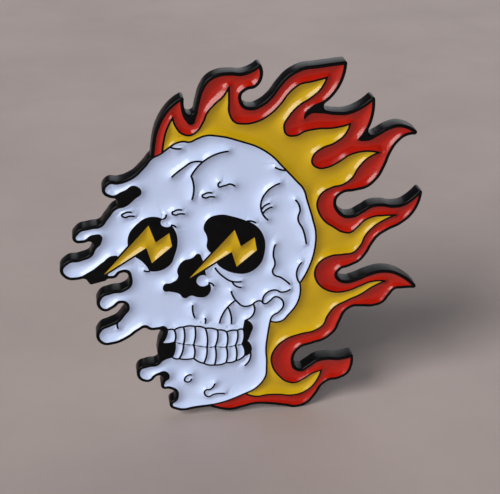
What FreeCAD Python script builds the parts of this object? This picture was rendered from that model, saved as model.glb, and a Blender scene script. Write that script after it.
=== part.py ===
import FreeCAD, Part
import Sketcher
from math import atan2, hypot, sqrt, tan
import os

# A soft-enamel pin: a flaming skull with bolts in its eyes, 1.7 inches across. One struck metal plate
# carries thin raised lines; the cells between the lines are filled with enamel that stays a little below
# the tops of the lines. Two posts stand on the back, and a butterfly clutch grips each of them.
#
# Frame: the pin as it is worn, millimetres. +Z up the artwork, +X to the viewer's right, and the face
# looks along -Y. The origin is on the back face, in the middle of the artwork's drawing grid. The back
# face is the plane y = 0, the tops of the raised lines are at y = -plate_thickness, the posts point to +Y.

V = FreeCAD.Vector
BACKWARD = V(0, 1, 0)

# name, millimetres, what it is
SIZES = [
    ("artwork_width", 39.8, "leftmost drip to rightmost flame tip, without the border"),
    ("artwork_height", 42.5, "lowest to highest flame tip, without the border"),
    ("border_width", 0.38, "flat metal outside the outermost enamel"),
    ("line_width", 0.22, "raised line between two cells"),
    ("gap_radius", 0.5, "smallest inside corner that the trimming tool can cut"),
    ("plate_thickness", 1.8, "back face to line tops"),
    ("cell_depth", 0.45, "line tops to the floor of a cell"),
    ("enamel_drop", 0.1, "line tops to the enamel's surface"),
    ("post_spacing", 14.0, "between the axes of the two posts"),
    ("post_drop", 3.0, "posts below the origin"),
    ("post_diameter", 1.15, "shaft of a post"),
    ("post_length", 9.6, "back face to the point"),
    ("point_length", 1.8, "tapered end"),
    ("point_diameter", 0.16, "flat left on the point"),
    ("groove_start", 4.9, "back face to the grip groove"),
    ("groove_length", 1.5, "grip groove"),
    ("groove_depth", 0.16, "grip groove"),
    ("foot_diameter", 4.4, "soldered foot of a post"),
    ("seat_clearance", 0.05, "around the foot in its seat"),
    ("seat_depth", 0.3, "seat in the back, filled flush by the foot"),
    ("clutch_stand", 4.8, "back face to the front of a clutch, where it grips"),
    ("cup_diameter", 11.4, "outside of the cup"),
    ("cup_height", 2.2, "front of the cup to its rim"),
    ("cup_wall", 0.5, "side wall of the cup below the shelf"),
    ("shelf_height", 1.62, "front of the cup to the shelf that carries the cap"),
    ("shelf_width", 0.22, "how far the cap reaches over the shelf"),
    ("sheet_thickness", 0.38, "brass sheet of the cup and the cap"),
    ("jaw_sheet", 0.3, "brass sheet of the jaw plates and wings"),
    ("post_clearance", 0.1, "around a post in the clutch's holes"),
    ("fit_clearance", 0.04, "between pieces that sit in one another"),
    ("slide_clearance", 0.07, "between the stacked jaw plates, the spring and the cap"),
    ("hub_diameter", 3.0, "raised ring in the middle of the cap"),
    ("hub_height", 0.3, "raised ring above the cap"),
    ("wire_diameter", 0.36, "spring wire"),
    ("wire_ring_diameter", 9.1, "middle of the wire across the ring"),
    ("jaw_width", 5.2, "jaw plate and wing"),
    ("jaw_reach", 1.6, "post axis to the plain end of a jaw plate"),
    ("pinch_travel", 0.7, "how far a wing moves in"),
    ("wing_offset", 3.1, "post axis to the inner face of a wing, released"),
    ("wing_height", 6.4, "front of the cup to the tip of a wing"),
    ("wing_lean", 1.3, "how far a wing's tip leans out"),
]

doc = FreeCAD.newDocument("enamel_pin")
sheet = doc.addObject("Spreadsheet::Sheet", "sizes")
for row, (name, value, note) in enumerate(SIZES, start=1):
    sheet.set(f"A{row}", name)
    sheet.set(f"B{row}", str(value))
    sheet.set(f"C{row}", note)
    sheet.setAlias(f"B{row}", name)
doc.recompute()


def size(expression):
    """The value in millimetres of an expression in the sheet's names, such as "sizes.cup_wall / 2"."""
    return float(sheet.evalExpression(expression))


# ---------------------------------------------------------------- the artwork's outlines
# Points (x, z) chosen by hand on a grid DRAWN_WIDTH by DRAWN_HEIGHT wide, scaled by the sheet. A point
# marked CORNER stays sharp; through the others runs a smooth chain of tangent arcs.

CORNER = "corner"
DRAWN_WIDTH = 39.8
DRAWN_HEIGHT = 42.5

# Where the fire's outlines run hidden behind the skull
BEHIND_SKULL = [(2.2, -12.0, CORNER), (4.0, -6.0, CORNER), (4.0, 4.0, CORNER), (-1.0, 8.5, CORNER)]

# Outer edge of the red fire: eight tongues, clockwise from the forehead
FIRE_OUTER = [
    (-9.3, 9.75, CORNER), (-9.15, 11.2), (-8.8, 12.8), (-8.1, 14.3), (-7.2, 15.4), (-6.2, 16.1, CORNER),
    (-6.15, 15.0), (-5.8, 13.95), (-5.2, 13.4), (-4.8, 14.1), (-4.45, 15.5), (-4.0, 17.0), (-3.3, 18.0),
    (-2.2, 18.5), (-1.0, 18.55), (0.1, 18.45), (1.0, 18.7), (1.9, 19.25, CORNER),
    (2.05, 18.3), (1.5, 17.3), (0.5, 17.0), (-0.1, 16.5), (-0.15, 15.6), (0.3, 14.9), (1.2, 14.65),
    (2.3, 15.05), (3.3, 15.9), (4.1, 17.0), (5.1, 18.05), (6.4, 18.7), (8.2, 18.9), (10.9, 19.15, CORNER),
    (10.65, 17.7), (10.0, 16.35), (8.9, 15.2), (7.6, 14.6), (6.95, 14.0), (6.8, 13.4, CORNER),
    (7.4, 13.9), (8.6, 13.9), (10.0, 13.65), (11.4, 13.6), (12.8, 14.1), (14.1, 15.05, CORNER),
    (14.1, 13.7), (13.7, 12.1), (12.75, 10.6, CORNER),
    (13.8, 10.5), (14.9, 11.0), (16.0, 11.6), (17.1, 11.85), (18.1, 11.6), (18.95, 11.05, CORNER),
    (17.9, 10.9), (16.9, 10.1), (16.2, 8.9), (15.7, 7.5), (15.0, 6.1), (13.9, 5.1), (12.6, 4.8),
    (11.2, 4.6), (10.5, 4.0), (10.35, 3.1), (10.8, 2.1), (11.6, 1.45), (12.6, 1.4), (13.6, 1.9),
    (14.7, 2.5), (15.8, 2.55), (17.0, 2.3), (18.2, 2.4), (19.2, 3.0), (20.05, 3.85, CORNER),
    (19.8, 2.6), (19.1, 1.3), (17.9, 0.3), (16.5, -0.35), (15.4, -1.1), (14.7, -2.1), (14.2, -3.1),
    (13.5, -4.0), (12.4, -4.55), (11.2, -5.0), (10.8, -5.7), (11.2, -6.5), (12.2, -6.9), (13.4, -6.65),
    (14.7, -6.15), (16.1, -5.85), (17.5, -6.05), (18.8, -6.75), (20.15, -8.0, CORNER),
    (18.9, -7.95), (17.8, -8.05), (17.1, -8.9), (16.5, -9.7), (15.4, -10.05), (14.1, -9.95), (12.9, -9.95),
    (12.0, -10.6), (11.45, -11.8), (10.9, -13.1), (9.8, -14.05), (8.3, -14.5), (6.9, -14.95),
    (6.15, -15.9), (6.0, -17.0), (6.4, -18.05), (7.2, -18.35), (8.1, -17.85), (9.1, -17.2), (10.3, -17.05),
    (11.7, -17.2), (13.15, -16.95, CORNER),
    (13.15, -18.0), (12.7, -19.15), (11.7, -19.7), (10.4, -19.9), (9.6, -20.5), (8.9, -21.7), (8.0, -22.8),
    (6.8, -23.25), (5.2, -22.9), (3.4, -22.5), (1.5, -22.35), (0.2, -22.6), (-1.3, -22.85), (-2.6, -22.55),
    (-3.7, -22.05, CORNER), (1.0, -19.0, CORNER),
] + BEHIND_SKULL + [(-7.0, 8.5, CORNER)]

# Edge between the yellow fire and the red
FIRE_INNER = [
    (-8.35, 10.2, CORNER), (-8.2, 11.4), (-7.85, 12.8), (-7.15, 14.2, CORNER),
    (-6.85, 13.2), (-6.25, 12.4), (-5.4, 12.15), (-4.6, 12.6), (-4.0, 13.5), (-3.5, 14.6), (-2.7, 15.5),
    (-1.9, 16.2), (-1.25, 17.25, CORNER),
    (-1.25, 15.8), (-1.2, 14.3), (-0.7, 13.4), (0.5, 13.1), (1.9, 13.35), (3.2, 14.1), (4.2, 15.1),
    (5.1, 16.3), (6.2, 17.15), (7.5, 17.4), (9.05, 17.75, CORNER),
    (8.5, 16.6), (7.4, 15.6), (6.2, 14.85), (5.2, 13.8), (4.6, 12.5), (4.95, 11.6), (5.8, 11.45),
    (6.9, 11.9), (8.2, 12.1), (9.9, 12.1), (11.75, 12.45, CORNER),
    (11.2, 11.2), (10.1, 10.35), (8.8, 9.85), (7.9, 9.1), (7.75, 8.2), (8.5, 7.55), (9.5, 7.6),
    (10.7, 8.15), (11.9, 8.9), (13.3, 9.2), (15.1, 8.95, CORNER),
    (13.8, 8.3), (12.9, 7.3), (12.2, 6.1), (11.3, 5.45), (10.0, 5.15), (8.9, 4.5), (8.45, 3.4), (8.7, 2.2),
    (9.4, 1.1), (10.5, 0.25), (11.4, -0.35), (12.3, -0.5), (13.1, 0.1), (13.9, 0.9), (14.9, 1.3),
    (16.1, 1.35), (17.45, 1.3, CORNER),
    (16.2, 0.8), (15.0, 0.05), (14.1, -1.0), (13.6, -2.2), (12.8, -3.05), (11.6, -3.2), (10.2, -3.3),
    (9.0, -3.95), (8.45, -5.1), (8.7, -6.4), (9.6, -7.45), (10.9, -8.0), (12.3, -7.95), (13.6, -7.5),
    (14.9, -7.0), (16.75, -7.05, CORNER),
    (15.3, -7.65), (13.9, -8.55), (12.3, -9.25), (10.9, -10.0), (10.1, -11.1), (9.6, -12.3), (8.6, -12.95),
    (7.0, -13.25), (5.4, -13.75), (4.2, -14.75), (3.6, -16.1), (3.75, -17.4), (4.5, -18.75), (5.5, -19.7),
    (6.5, -19.95), (7.5, -19.5), (8.4, -18.9), (9.6, -18.5, CORNER),
    (9.2, -19.7), (8.4, -20.85), (7.2, -21.55), (5.9, -21.7), (4.6, -21.45), (3.2, -21.35), (1.8, -21.45),
    (0.2, -20.6, CORNER), (1.6, -19.0, CORNER),
] + BEHIND_SKULL + [(-7.0, 9.2, CORNER)]

# Top of the skull, from the forehead over the crown to the corner behind the jaw
CRANIUM = [
    (-9.35, 9.85), (-8.6, 10.2), (-7.7, 10.85), (-6.9, 11.35), (-6.2, 11.5), (-5.4, 11.4), (-4.7, 11.7),
    (-3.8, 12.0), (-2.2, 11.85), (0.0, 11.15), (1.9, 10.35), (3.3, 9.35), (4.6, 7.9), (5.9, 6.4),
    (6.9, 5.15), (7.35, 3.7), (7.95, 1.7), (8.4, -0.2), (8.35, -2.2), (7.8, -4.4), (6.75, -6.5, CORNER),
    (6.8, -8.0), (6.4, -9.3), (5.6, -10.4), (4.7, -11.3),
]
# Line between the skull and the jaw's hinge knob, from behind the jaw to the mouth
HINGE = [
    (3.4, -11.2, CORNER), (3.65, -10.55), (4.4, -10.05), (4.9, -9.3), (4.6, -8.35), (3.9, -8.05),
    (3.35, -8.5), (2.85, -8.85), (2.1, -8.4), (1.4, -8.75, CORNER), (1.55, -9.8), (0.5, -10.85, CORNER),
]
# Melting left edge of the skull, from the upper teeth up to the forehead
FACE_DRIPS = [
    (-8.75, -10.9), (-9.5, -10.95), (-10.2, -10.95), (-10.95, -10.55), (-11.8, -10.95), (-13.0, -11.8),
    (-14.5, -12.4), (-15.7, -12.35), (-16.2, -11.5), (-15.8, -10.65), (-14.8, -10.2), (-14.0, -9.85),
    (-13.2, -8.95), (-12.65, -8.1), (-12.9, -7.35), (-13.6, -7.15), (-14.5, -7.75), (-15.3, -8.05),
    (-15.9, -7.4), (-15.6, -6.5), (-14.5, -6.05), (-13.1, -5.85), (-12.35, -5.3), (-12.2, -4.3),
    (-12.6, -3.35), (-13.4, -3.35), (-14.3, -3.95), (-14.85, -3.75), (-14.6, -3.3, CORNER),
    (-13.4, -2.3, CORNER), (-13.7, -1.5, CORNER), (-14.2, -1.5), (-15.2, -2.2), (-16.6, -3.2),
    (-18.0, -3.8), (-19.2, -3.6), (-19.65, -2.8), (-19.0, -1.95), (-17.6, -1.7), (-16.4, -1.2),
    (-15.95, -0.4), (-15.35, 0.3), (-15.3, 1.1), (-16.1, 1.2), (-17.2, 0.65), (-18.0, 0.85), (-17.6, 1.7),
    (-16.4, 2.05), (-15.2, 2.25), (-14.4, 3.2), (-13.6, 4.15), (-12.4, 4.55), (-11.6, 5.2), (-10.8, 6.1),
    (-11.3, 6.65), (-12.6, 6.15), (-13.9, 5.75), (-14.6, 6.4), (-14.2, 7.1), (-13.0, 7.15), (-11.5, 7.7),
    (-10.3, 8.8),
]
# Back and lower edge of the jaw with its drips, from the hinge round the chin to the lower teeth
JAW_EDGE = [
    (3.4, -11.2, CORNER), (3.15, -12.8), (2.95, -14.8), (3.05, -17.0), (2.85, -18.9), (1.9, -20.15),
    (0.0, -21.1), (-2.6, -21.95), (-5.0, -22.15), (-7.6, -22.15), (-8.15, -21.8), (-7.5, -20.7),
    (-7.55, -19.7), (-8.4, -19.1), (-9.1, -18.95), (-9.0, -18.4), (-8.45, -17.7), (-8.8, -17.0),
    (-9.8, -17.15), (-11.0, -17.9), (-11.8, -17.3), (-11.7, -16.4), (-10.8, -16.05), (-9.7, -15.9),
    (-9.1, -15.35),
]
# Back of the mouth, from the lower teeth up to the hinge line
MOUTH_BACK = [(1.1, -15.1), (1.1, -14.3), (0.65, -13.65, CORNER), (1.0, -12.8), (1.25, -11.6)]

# The corners that neighbouring teeth share, from the front of the mouth to the back
GUM_LINE = [
    (-8.45, -11.35), (-7.65, -11.4), (-6.6, -11.1), (-5.3, -11.15), (-4.1, -11.5), (-2.7, -11.85),
    (-1.65, -12.2), (-0.4, -12.1), (0.3, -12.05),
]
BITE_LINE = [
    (-9.15, -13.05), (-7.65, -13.0), (-6.65, -13.4), (-5.5, -13.6), (-3.95, -14.05), (-3.0, -14.05),
    (-1.7, -14.25), (-0.65, -14.1), (0.15, -14.0),
]
ROOT_LINE = [
    (-8.0, -15.0), (-7.2, -15.3), (-5.5, -15.4), (-4.35, -16.2), (-3.1, -16.55), (-1.75, -16.35),
    (-0.6, -16.2), (0.45, -15.55),
]
GUM_BULGE = 0.12
SIDE_BULGE = 0.15
SHORTEST_EDGE = 0.01

# Bare metal areas inside the skull
SOCKET_LEFT = [
    (-12.2, 1.2), (-11.4, 2.2), (-10.4, 2.9), (-9.4, 3.0), (-8.5, 2.65, CORNER), (-8.75, 2.1), (-8.3, 1.7),
    (-7.6, 1.85, CORNER), (-7.1, 0.8), (-7.0, -0.4), (-7.3, -1.7), (-7.9, -3.0), (-9.1, -3.65),
    (-10.2, -3.6, CORNER), (-10.75, -2.6), (-11.6, -1.8, CORNER), (-12.4, -0.4, CORNER),
]
SOCKET_RIGHT = [
    (-4.1, 1.5), (-3.6, 2.35), (-2.2, 2.75), (-0.8, 2.4), (0.7, 1.75, CORNER), (1.9, 0.9), (2.6, -0.4),
    (2.7, -2.0), (2.1, -3.8), (0.8, -4.7), (-0.9, -4.55), (-2.6, -3.4, CORNER), (-3.3, -1.9, CORNER),
    (-3.75, -1.3), (-3.75, 0.0),
]
NOSE = [
    (-7.1, -3.6), (-6.5, -2.65), (-5.4, -2.3), (-4.75, -1.85), (-4.3, -2.6), (-4.1, -3.5, CORNER),
    (-3.9, -4.7, CORNER), (-5.0, -5.35), (-4.7, -5.85), (-3.6, -5.6, CORNER), (-3.4, -6.5), (-4.0, -7.35),
    (-4.9, -7.35), (-5.6, -7.1), (-6.4, -7.35), (-7.05, -6.7), (-7.9, -6.4), (-8.7, -6.2), (-8.65, -5.45),
    (-7.8, -5.25), (-7.15, -4.8),
]
# Bare metal that joins the silhouette: the open mouth, and the web round the left bolt's tip
MOUTH_WEB = [
    (-9.2, -13.0, CORNER), (-8.45, -11.35, CORNER), (0.5, -10.85, CORNER), (1.5, -11.6, CORNER),
    (1.4, -15.3, CORNER), (-3.0, -16.7, CORNER), (-8.0, -15.0, CORNER), (-9.1, -15.35, CORNER),
    (-9.4, -14.2, CORNER),
]
BOLT_WEB = [(-17.0, -3.8, CORNER), (-14.0, -2.5, CORNER), (-15.2, -4.2, CORNER), (-16.6, -4.5, CORNER)]

# A plain zigzag bolt in the left socket; the right one is a copy, moved by BOLT_STEP
BOLT = [
    (-15.8, -4.15, CORNER), (-10.05, 2.2, CORNER), (-9.35, 0.05, CORNER), (-7.8, 1.1, CORNER),
    (-7.5, -0.75, CORNER), (-9.95, -2.8, CORNER), (-10.5, -0.85, CORNER),
]
BOLT_STEP = (9.4, -1.2)

# Middle lines of the raised cracks and wrinkles. A curl is one hook, drawn at several places.
CURL = [(0.6, 0.3), (-0.1, 0.25), (-0.4, 0.0), (-0.1, -0.25), (0.4, -0.15), (0.9, -0.2)]
CURL_PLACES = [(-12.5, 3.4), (-7.1, 3.3), (-3.8, 5.1)]
SKULL_CRACKS = [
    [(-1.4, 10.1), (-2.8, 9.8), (-4.1, 9.05), (-5.35, 7.5, CORNER), (-5.1, 6.4), (-5.3, 4.8)],
    [(-4.1, 9.05), (-5.2, 9.1), (-6.2, 8.5), (-7.4, 7.55)],
    [(-2.3, 6.6), (-2.45, 6.15), (-1.8, 6.15), (-1.2, 6.3), (-0.7, 6.05)],
    [(4.2, 6.0), (2.8, 5.1), (2.2, 3.8), (2.95, 1.75)],
    [(2.3, 3.1), (2.65, 3.5), (3.1, 3.7)],
    [(2.45, 2.6), (2.9, 3.05), (3.4, 3.25)],
    [(6.05, 3.9), (6.55, 2.8), (6.35, 1.7), (7.0, 0.1), (7.35, -1.5)],
    [(6.85, -3.9), (6.35, -5.1), (6.75, -6.5)],
    [(3.85, -1.4), (3.65, -2.6), (3.85, -3.7), (3.65, -5.0), (4.7, -5.7), (5.55, -6.5)],
    [(-1.1, -6.95), (-0.6, -8.1), (0.5, -9.0), (1.4, -8.75)],
    [(-0.6, -8.1), (-1.8, -9.3), (-2.45, -10.9)],
    [(-1.5, -8.9), (-1.15, -10.0), (-1.1, -11.1)],
    [(2.5, -8.6), (3.0, -7.4), (3.9, -7.15), (4.7, -7.5), (5.6, -7.25)],
    [(-7.5, 10.95), (-7.0, 10.75), (-6.4, 10.7)],
    [(5.0, 7.5), (4.4, 7.6), (3.75, 7.9)],
    [(-2.9, -3.8), (-2.0, -4.95), (-1.0, -5.65), (0.0, -5.75)],
    [(-1.0, -5.65), (-0.6, -6.25), (0.0, -6.5)],
    [(-8.5, 2.65), (-8.25, 2.8), (-8.15, 3.1)],
    [(-7.6, 1.85), (-7.4, 1.8), (-7.15, 1.6)],
    [(-10.2, -3.6), (-10.5, -3.62), (-10.75, -3.5)],
    [(0.7, 1.75), (1.2, 1.7), (1.6, 1.5)],
    [(-3.6, -5.6), (-3.35, -5.7), (-3.1, -6.0)],
    [(-5.5, -8.4), (-5.5, -9.1), (-5.3, -9.95)],
    [(-4.1, -10.2), (-4.05, -10.5), (-4.1, -10.8)],
    [(-14.0, -9.85), (-14.05, -10.2), (-14.0, -10.6)],
]
JAW_CRACKS = [
    [(-5.85, -17.65), (-6.5, -17.9), (-6.6, -18.4), (-5.85, -18.25)],
    [(-3.1, -19.2), (-3.5, -19.8), (-4.3, -20.1), (-4.1, -20.8), (-3.0, -20.6), (-2.0, -20.65)],
    [(1.1, -15.1), (1.1, -16.0), (0.5, -16.95)],
]


# ---------------------------------------------------------------- from points to flat faces

def unit(x, z):
    length = hypot(x, z)
    return x / length, z / length


def scaled(points):
    """The points in millimetres, with their corner marks kept."""
    wide = size("sizes.artwork_width") / DRAWN_WIDTH
    high = size("sizes.artwork_height") / DRAWN_HEIGHT
    return [(point[0] * wide, point[1] * high) + tuple(point[2:]) for point in points]


def moved(points, step):
    return [(point[0] + step[0], point[1] + step[1]) + tuple(point[2:]) for point in points]


def direction_through(before, point, after):
    """The direction, at point, of the circle through three points."""
    ax, az = point[0] - before[0], point[1] - before[1]
    bx, bz = after[0] - point[0], after[1] - point[1]
    a_squared = ax * ax + az * az
    b_squared = bx * bx + bz * bz
    return unit(ax / a_squared + bx / b_squared, az / a_squared + bz / b_squared)


def mirrored(direction, chord):
    """The direction at the other end of the arc that crosses a chord, run the same way."""
    twice = 2 * (direction[0] * chord[0] + direction[1] * chord[1])
    return twice * chord[0] - direction[0], twice * chord[1] - direction[1]


def arc(start, direction, end):
    """The arc, or the straight line, that leaves start along direction and reaches end."""
    cx, cz = end[0] - start[0], end[1] - start[1]
    chord = hypot(cx, cz)
    across = cz * direction[0] - cx * direction[1]
    along = cx * direction[0] + cz * direction[1]
    first = V(start[0], 0, start[1])
    last = V(end[0], 0, end[1])
    if abs(across) < 1e-4 * chord:
        return Part.makeLine(first, last)
    sagitta = tan(atan2(across, along) / 2) / 2
    middle = V((start[0] + end[0]) / 2 + cz * sagitta, 0, (start[1] + end[1]) / 2 - cx * sagitta)
    return Part.Arc(first, middle, last).toShape()


def two_arcs(start, first_direction, end, last_direction):
    """Two arcs that meet smoothly, with the given directions at both ends."""
    vx, vz = end[0] - start[0], end[1] - start[1]
    sx, sz = first_direction[0] + last_direction[0], first_direction[1] + last_direction[1]
    distance_squared = vx * vx + vz * vz
    along = vx * sx + vz * sz
    turn = 2 * (1 - first_direction[0] * last_direction[0] - first_direction[1] * last_direction[1])
    if turn < 1e-9:
        reach = distance_squared / (2 * along)
    else:
        reach = (sqrt(along * along + turn * distance_squared) - along) / turn
    handle = (start[0] + reach * first_direction[0], start[1] + reach * first_direction[1])
    other = (end[0] - reach * last_direction[0], end[1] - reach * last_direction[1])
    middle = ((handle[0] + other[0]) / 2, (handle[1] + other[1]) / 2)
    middle_direction = unit(other[0] - handle[0], other[1] - handle[1])
    return [arc(start, first_direction, middle), arc(middle, middle_direction, end)]


def outline_edges(points, closed):
    count = len(points)
    sharp = [len(point) > 2 for point in points]
    if not closed:
        sharp[0] = sharp[-1] = True
    directions = []
    for i, point in enumerate(points):
        directions.append(None if sharp[i] else direction_through(points[i - 1], point, points[(i + 1) % count]))
    edges = []
    for i in range(count if closed else count - 1):
        j = (i + 1) % count
        start, end = points[i][:2], points[j][:2]
        chord = unit(end[0] - start[0], end[1] - start[1])
        if sharp[i] and sharp[j]:
            edges.append(Part.makeLine(V(start[0], 0, start[1]), V(end[0], 0, end[1])))
        elif sharp[i]:
            edges.append(arc(start, mirrored(directions[j], chord), end))
        elif sharp[j]:
            edges.append(arc(start, directions[i], end))
        else:
            edges += two_arcs(start, directions[i], end, directions[j])
    return edges


def region(points):
    """The flat face inside an outline, in the plane y = 0."""
    return Part.Face(Part.Wire(outline_edges(scaled(points), closed=True)))


def stroke(points):
    """A line as wide as the raised lines, with round ends."""
    middle_line = Part.Wire(outline_edges(scaled(points), closed=False))
    return middle_line.makeOffset2D(size("sizes.line_width") / 2, fill=True)


def grown(face, distance):
    return face.makeOffset2D(distance)


def bulged(start, end, amount):
    """The middle of a chord, pushed out to its left by amount."""
    dx, dz = unit(end[0] - start[0], end[1] - start[1])
    return (start[0] + end[0]) / 2 - dz * amount, (start[1] + end[1]) / 2 + dx * amount


def scalloped(corners, amount):
    """An outline through sharp corners, with a bulge between each two."""
    points = []
    for start, end in zip(corners, corners[1:]):
        points += [start + (CORNER,), bulged(start, end, amount)]
    return points + [corners[-1] + (CORNER,)]


def tooth(top, bottom):
    """A tooth between two corners at the top and two at the bottom, each pair front to back."""
    upper = scalloped(top, GUM_BULGE)
    back = [bulged(top[1], bottom[1], SIDE_BULGE)]
    lower = scalloped(bottom[::-1], GUM_BULGE)
    front = [bulged(bottom[0], top[0], -SIDE_BULGE)]
    return region(upper + back + lower + front)


def single_face(shape):
    if len(shape.Faces) != 1:
        raise RuntimeError(f"an artwork cell came out as {len(shape.Faces)} faces")
    return shape.Faces[0]


def tidied(face):
    """The same face without the hair-short edges that growing and cutting leave, which mesh badly."""
    wires = []
    for wire in face.Wires:
        kept = [edge for edge in wire.OrderedEdges if edge.Length > SHORTEST_EDGE]
        ends = [edge.lastVertex(True).Point for edge in kept]
        edges = []
        for edge, start, end in zip(kept, ends[-1:] + ends[:-1], ends):
            if isinstance(edge.Curve, Part.Line):
                edges.append(Part.makeLine(start, end))
            else:
                middle = edge.valueAt((edge.FirstParameter + edge.LastParameter) / 2)
                edges.append(Part.Arc(start, middle, end).toShape())
        wires.append(Part.Wire(edges))
    return Part.makeFace(wires, "Part::FaceMakerBullseye")


def artwork():
    """The outline of the plate and the outline of each enamel cell, as flat faces."""
    half_line = size("sizes.line_width") / 2
    gap_radius = size("sizes.gap_radius")
    fire_outer = region(FIRE_OUTER)
    fire_inner = region(FIRE_INNER)
    skull = region(CRANIUM + HINGE + scalloped(GUM_LINE[::-1], -GUM_BULGE) + FACE_DRIPS)
    jaw = region(HINGE[:0:-1] + JAW_EDGE + scalloped(ROOT_LINE, -GUM_BULGE) + MOUTH_BACK)
    bolts = {"bolt_left": region(BOLT), "bolt_right": region(moved(BOLT, BOLT_STEP))}

    whole = fire_outer.fuse([skull, jaw, region(MOUTH_WEB), region(BOLT_WEB)] + list(bolts.values()))
    silhouette = Part.Face(single_face(whole.removeSplitter()).OuterWire)
    widened = grown(silhouette, size("sizes.border_width") - half_line + gap_radius)
    plate = grown(Part.Face(widened.OuterWire), -gap_radius)

    skull_line = grown(skull, half_line)
    jaw_line = grown(jaw, half_line)
    curls = [moved(CURL, place) for place in CURL_PLACES]
    bare = [region(SOCKET_LEFT), region(SOCKET_RIGHT), region(NOSE)]
    bare += [grown(bolt, half_line) for bolt in bolts.values()]
    bare += [stroke(points) for points in SKULL_CRACKS + curls]

    cells = {
        "skull_face": single_face(grown(skull, -half_line).cut(bare)),
        "jaw": single_face(grown(jaw, -half_line).cut([stroke(points) for points in JAW_CRACKS])),
        "yellow_fire": single_face(grown(fire_inner, -half_line).cut([skull_line, jaw_line])),
        "red_fire": single_face(
            grown(fire_outer, -half_line).cut([grown(fire_inner, half_line), skull_line, jaw_line])
        ),
    }
    for name, bolt in bolts.items():
        cells[name] = grown(bolt, -half_line)
    for i in range(len(GUM_LINE) - 1):
        cells[f"upper_tooth_{i + 1}"] = grown(tooth(GUM_LINE[i:i + 2], BITE_LINE[i:i + 2]), -half_line)
    for i in range(len(ROOT_LINE) - 1):
        cells[f"lower_tooth_{i + 1}"] = grown(tooth(BITE_LINE[i + 1:i + 3], ROOT_LINE[i:i + 2]), -half_line)
    return tidied(plate), {name: tidied(cell) for name, cell in cells.items()}


# ---------------------------------------------------------------- document helpers

parts = []


def finished(feature, label):
    """Give a sub-part the name of its file."""
    feature.Label = label
    parts.append(feature)
    return feature


def bind(feature, **expressions):
    """Bind properties to the sheet; Placement.Base.y and the like are written place_y."""
    for name, expression in expressions.items():
        path = name.replace("place_", ".Placement.Base.") if name.startswith("place_") else name
        feature.setExpression(path, expression)


def extruded(face, name, length):
    """A flat face run forward from its own plane."""
    flat = doc.addObject("Part::Feature", name + "_outline")
    flat.Shape = face
    solid = doc.addObject("Part::Extrusion", name)
    solid.Base = flat
    solid.DirMode = "Custom"
    solid.Dir = -BACKWARD
    solid.Solid = True
    bind(solid, LengthFwd=length)
    return solid


def new_body(label, x, y, z):
    """A body whose own origin is put at a place given by expressions."""
    body = doc.addObject("PartDesign::Body", label)
    bind(body, place_x=x, place_y=y, place_z=z)
    return finished(body, label)


def sketch_polygon(body, name, plane, corners):
    """A closed polygon whose corners' coordinates are expressions, all bound to the sheet."""
    sketch = body.newObject("Sketcher::SketchObject", name)
    origin_plane = next(o for o in body.Origin.OriginFeatures if o.Role == plane)
    sketch.AttachmentSupport = [(origin_plane, "")]
    sketch.MapMode = "FlatFace"
    spots = [V(size(across), size(up), 0) for across, up in corners]
    for start, end in zip(spots, spots[1:] + spots[:1]):
        sketch.addGeometry(Part.LineSegment(start, end), False)
    for i in range(len(corners)):
        sketch.addConstraint(Sketcher.Constraint("Coincident", i, 2, (i + 1) % len(corners), 1))
    for i, (spot, pair) in enumerate(zip(spots, corners)):
        for kind, value, expression in (("DistanceX", spot.x, pair[0]), ("DistanceY", spot.y, pair[1])):
            fix_coordinate(sketch, i, kind, value, expression)
    return sketch


def fix_coordinate(sketch, line, kind, value, expression):
    """Hold one coordinate of a line's first end to an expression, measured from the sketch's origin."""
    if abs(value) < 1e-9:
        axis = -2 if kind == "DistanceX" else -1
        sketch.addConstraint(Sketcher.Constraint("PointOnObject", line, 1, axis))
        return
    if value > 0:
        index = sketch.addConstraint(Sketcher.Constraint(kind, -1, 1, line, 1, value))
    else:
        index = sketch.addConstraint(Sketcher.Constraint(kind, line, 1, -1, 1, -value))
        expression = f"-({expression})"
    sketch.setExpression(f"Constraints[{index}]", expression)


def revolve(body, sketch):
    """A full turn about the sketch's upright axis, which is the body's Y axis."""
    turned = body.newObject("PartDesign::Revolution", "turned")
    turned.Profile = sketch
    turned.ReferenceAxis = (sketch, ["V_Axis"])
    turned.Angle = 360
    return turned


def cut_through(body, name, corners):
    """Cut a polygon, seen along Y, right through a body, and make sure that it took something away."""
    before = body.Shape.Volume
    pocket = body.newObject("PartDesign::Pocket", name)
    pocket.Profile = sketch_polygon(body, name + "_sketch", "XZ_Plane", corners)
    pocket.Type = "ThroughAll"
    pocket.Midplane = True
    doc.recompute()
    if body.Shape.Volume > before - 1e-6:
        raise RuntimeError(f"{body.Label}: {name} cut nothing")
    return pocket


# ---------------------------------------------------------------- plate and enamel

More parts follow.
